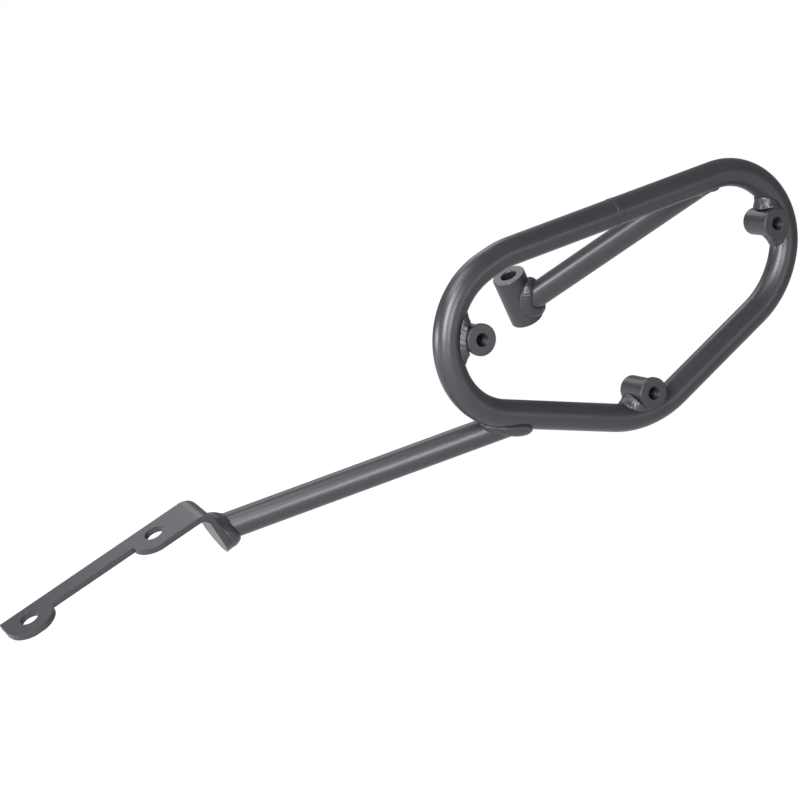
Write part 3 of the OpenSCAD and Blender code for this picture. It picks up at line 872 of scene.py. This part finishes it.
class PANNIER_OT_stage(bpy.types.Operator):
    """Adds the pale floor, the studio light and the camera"""
    bl_idname = "pannier.stage"
    bl_label = "Studio"

    def execute(self, context):
        s = context.scene.pannier_stage
        scene = context.scene
        self.camera(scene)
        self.floor(scene, s)
        self.world(scene, s)
        for name, (azimuth, elevation, distance, size) in SOFTBOXES.items():
            softbox(f"{name}_softbox", azimuth, elevation, distance, size, getattr(s, name))
        scene.view_settings.view_transform = "Standard"
        return {"FINISHED"}

    def camera(self, scene):
        data = bpy.data.cameras.new("photo_camera")
        data.sensor_fit = "HORIZONTAL"
        data.sensor_width = SENSOR
        data.lens = LENS
        data.clip_start, data.clip_end = CLIP
        camera = bpy.data.objects.new("photo_camera", data)
        back = direction(AZIMUTH, ELEVATION)
        camera.location = TARGET + back * DISTANCE
        camera.rotation_euler = back.to_track_quat("Z", "Y").to_euler()
        scene.collection.objects.link(camera)
        scene.camera = camera

    def floor_material(self):
        """Matt paper floor: pale and even, white to the camera but for a shadow."""
        mat, tree = new_material("pale_studio_floor")
        place = node(tree, "ShaderNodeTexCoord").outputs["Object"]
        mottle = node(tree, "ShaderNodeTexNoise", {"Vector": place}, Scale=per_mm(120))
        tone = node(tree, "ShaderNodeValToRGB", {"Fac": mottle.outputs["Fac"]})
        tone.color_ramp.elements[0].color = (0.86, 0.86, 0.87, 1)
        tone.color_ramp.elements[1].color = (0.9, 0.9, 0.9, 1)
        matte = node(tree, "ShaderNodeBsdfDiffuse", {"Color": tone.outputs["Color"]})
        away = node(tree, "ShaderNodeVectorMath", {0: place}, operation="LENGTH")
        glow_level = node(tree, "ShaderNodeMapRange", {"Value": away.outputs["Value"]},
                          From_Min=FLOOR_FADE[0], From_Max=FLOOR_FADE[1],
                          To_Min=0.9, To_Max=1.0)
        glow = node(tree, "ShaderNodeEmission", {"Strength": glow_level.outputs["Result"]})
        faint = node(tree, "ShaderNodeBsdfDiffuse", Color=(0.2, 0.2, 0.2, 1))
        both = node(tree, "ShaderNodeAddShader", {0: faint.outputs[0], 1: glow.outputs[0]})
        mix = node(tree, "ShaderNodeMixShader",
                   {0: seen_as_white(tree), 1: matte.outputs[0], 2: both.outputs[0]})
        node(tree, "ShaderNodeOutputMaterial", {"Surface": mix.outputs[0]})
        return mat

    def floor(self, scene, s):
        """A wide floor under the object."""
        mat = self.floor_material()
        mesh = bpy.data.meshes.new("studio_floor")
        low = CAD_BOX[0][2] - s.floor_drop
        ticks = np.linspace(-FLOOR_REACH, FLOOR_REACH, FLOOR_TILES + 1)
        verts = [(x, y, low) for x in ticks for y in ticks]
        n = FLOOR_TILES + 1
        faces = [(i * n + j, (i + 1) * n + j, (i + 1) * n + j + 1, i * n + j + 1)
                 for i in range(FLOOR_TILES) for j in range(FLOOR_TILES)]
        mesh.from_pydata(verts, [], faces)
        mesh.materials.append(mat)
        floor_piece = bpy.data.objects.new("studio_floor", mesh)
        scene.collection.objects.link(floor_piece)

    def world(self, scene, s):
        """Even light from all round, seen as plain white behind the object."""
        world = bpy.data.worlds.new("studio_surround")
        world.use_nodes = True
        tree = world.node_tree
        tree.nodes.clear()
        strength = node(tree, "ShaderNodeMapRange", {"Value": seen_as_white(tree)},
                        To_Min=s.sky, To_Max=1.0)
        air = node(tree, "ShaderNodeBackground", {"Strength": strength.outputs["Result"]},
                   Color=(1, 1, 1, 1))
        node(tree, "ShaderNodeOutputWorld", {"Surface": air.outputs["Background"]})
        scene.world = world


# Panel and run

class PANNIER_PT_panel(bpy.types.Panel):
    """Sizes and steps of the pannier frame"""
    bl_idname = "PANNIER_PT_panel"
    bl_label = "Pannier Frame"
    bl_space_type = "VIEW_3D"
    bl_region_type = "UI"
    bl_category = "Pannier Frame"

    def draw(self, context):
        for operator in OPERATORS:
            self.layout.operator(operator.bl_idname)
        for name, group in GROUPS.items():
            box = self.layout.box()
            for key in group.__annotations__:
                box.prop(getattr(context.scene, name), key)


OPERATORS = (PANNIER_OT_stage, PANNIER_OT_loop, PANNIER_OT_tubes, PANNIER_OT_bosses,
             PANNIER_OT_sleeve, PANNIER_OT_bracket, PANNIER_OT_welds)
CLASSES = (*GROUPS.values(), *OPERATORS, PANNIER_PT_panel)


def register():
    for cls in CLASSES:
        bpy.utils.register_class(cls)
    for name, group in GROUPS.items():
        setattr(bpy.types.Scene, name, PointerProperty(type=group))


def unregister():
    for name in GROUPS:
        delattr(bpy.types.Scene, name)
    for cls in reversed(CLASSES):
        bpy.utils.unregister_class(cls)


def main():
    register()
    bpy.ops.pannier.stage()
    bpy.ops.pannier.loop()
    bpy.ops.pannier.tubes()
    bpy.ops.pannier.bosses()
    bpy.ops.pannier.sleeve()
    bpy.ops.pannier.bracket()
    bpy.ops.pannier.welds()


if __name__ == "__main__":
    main()
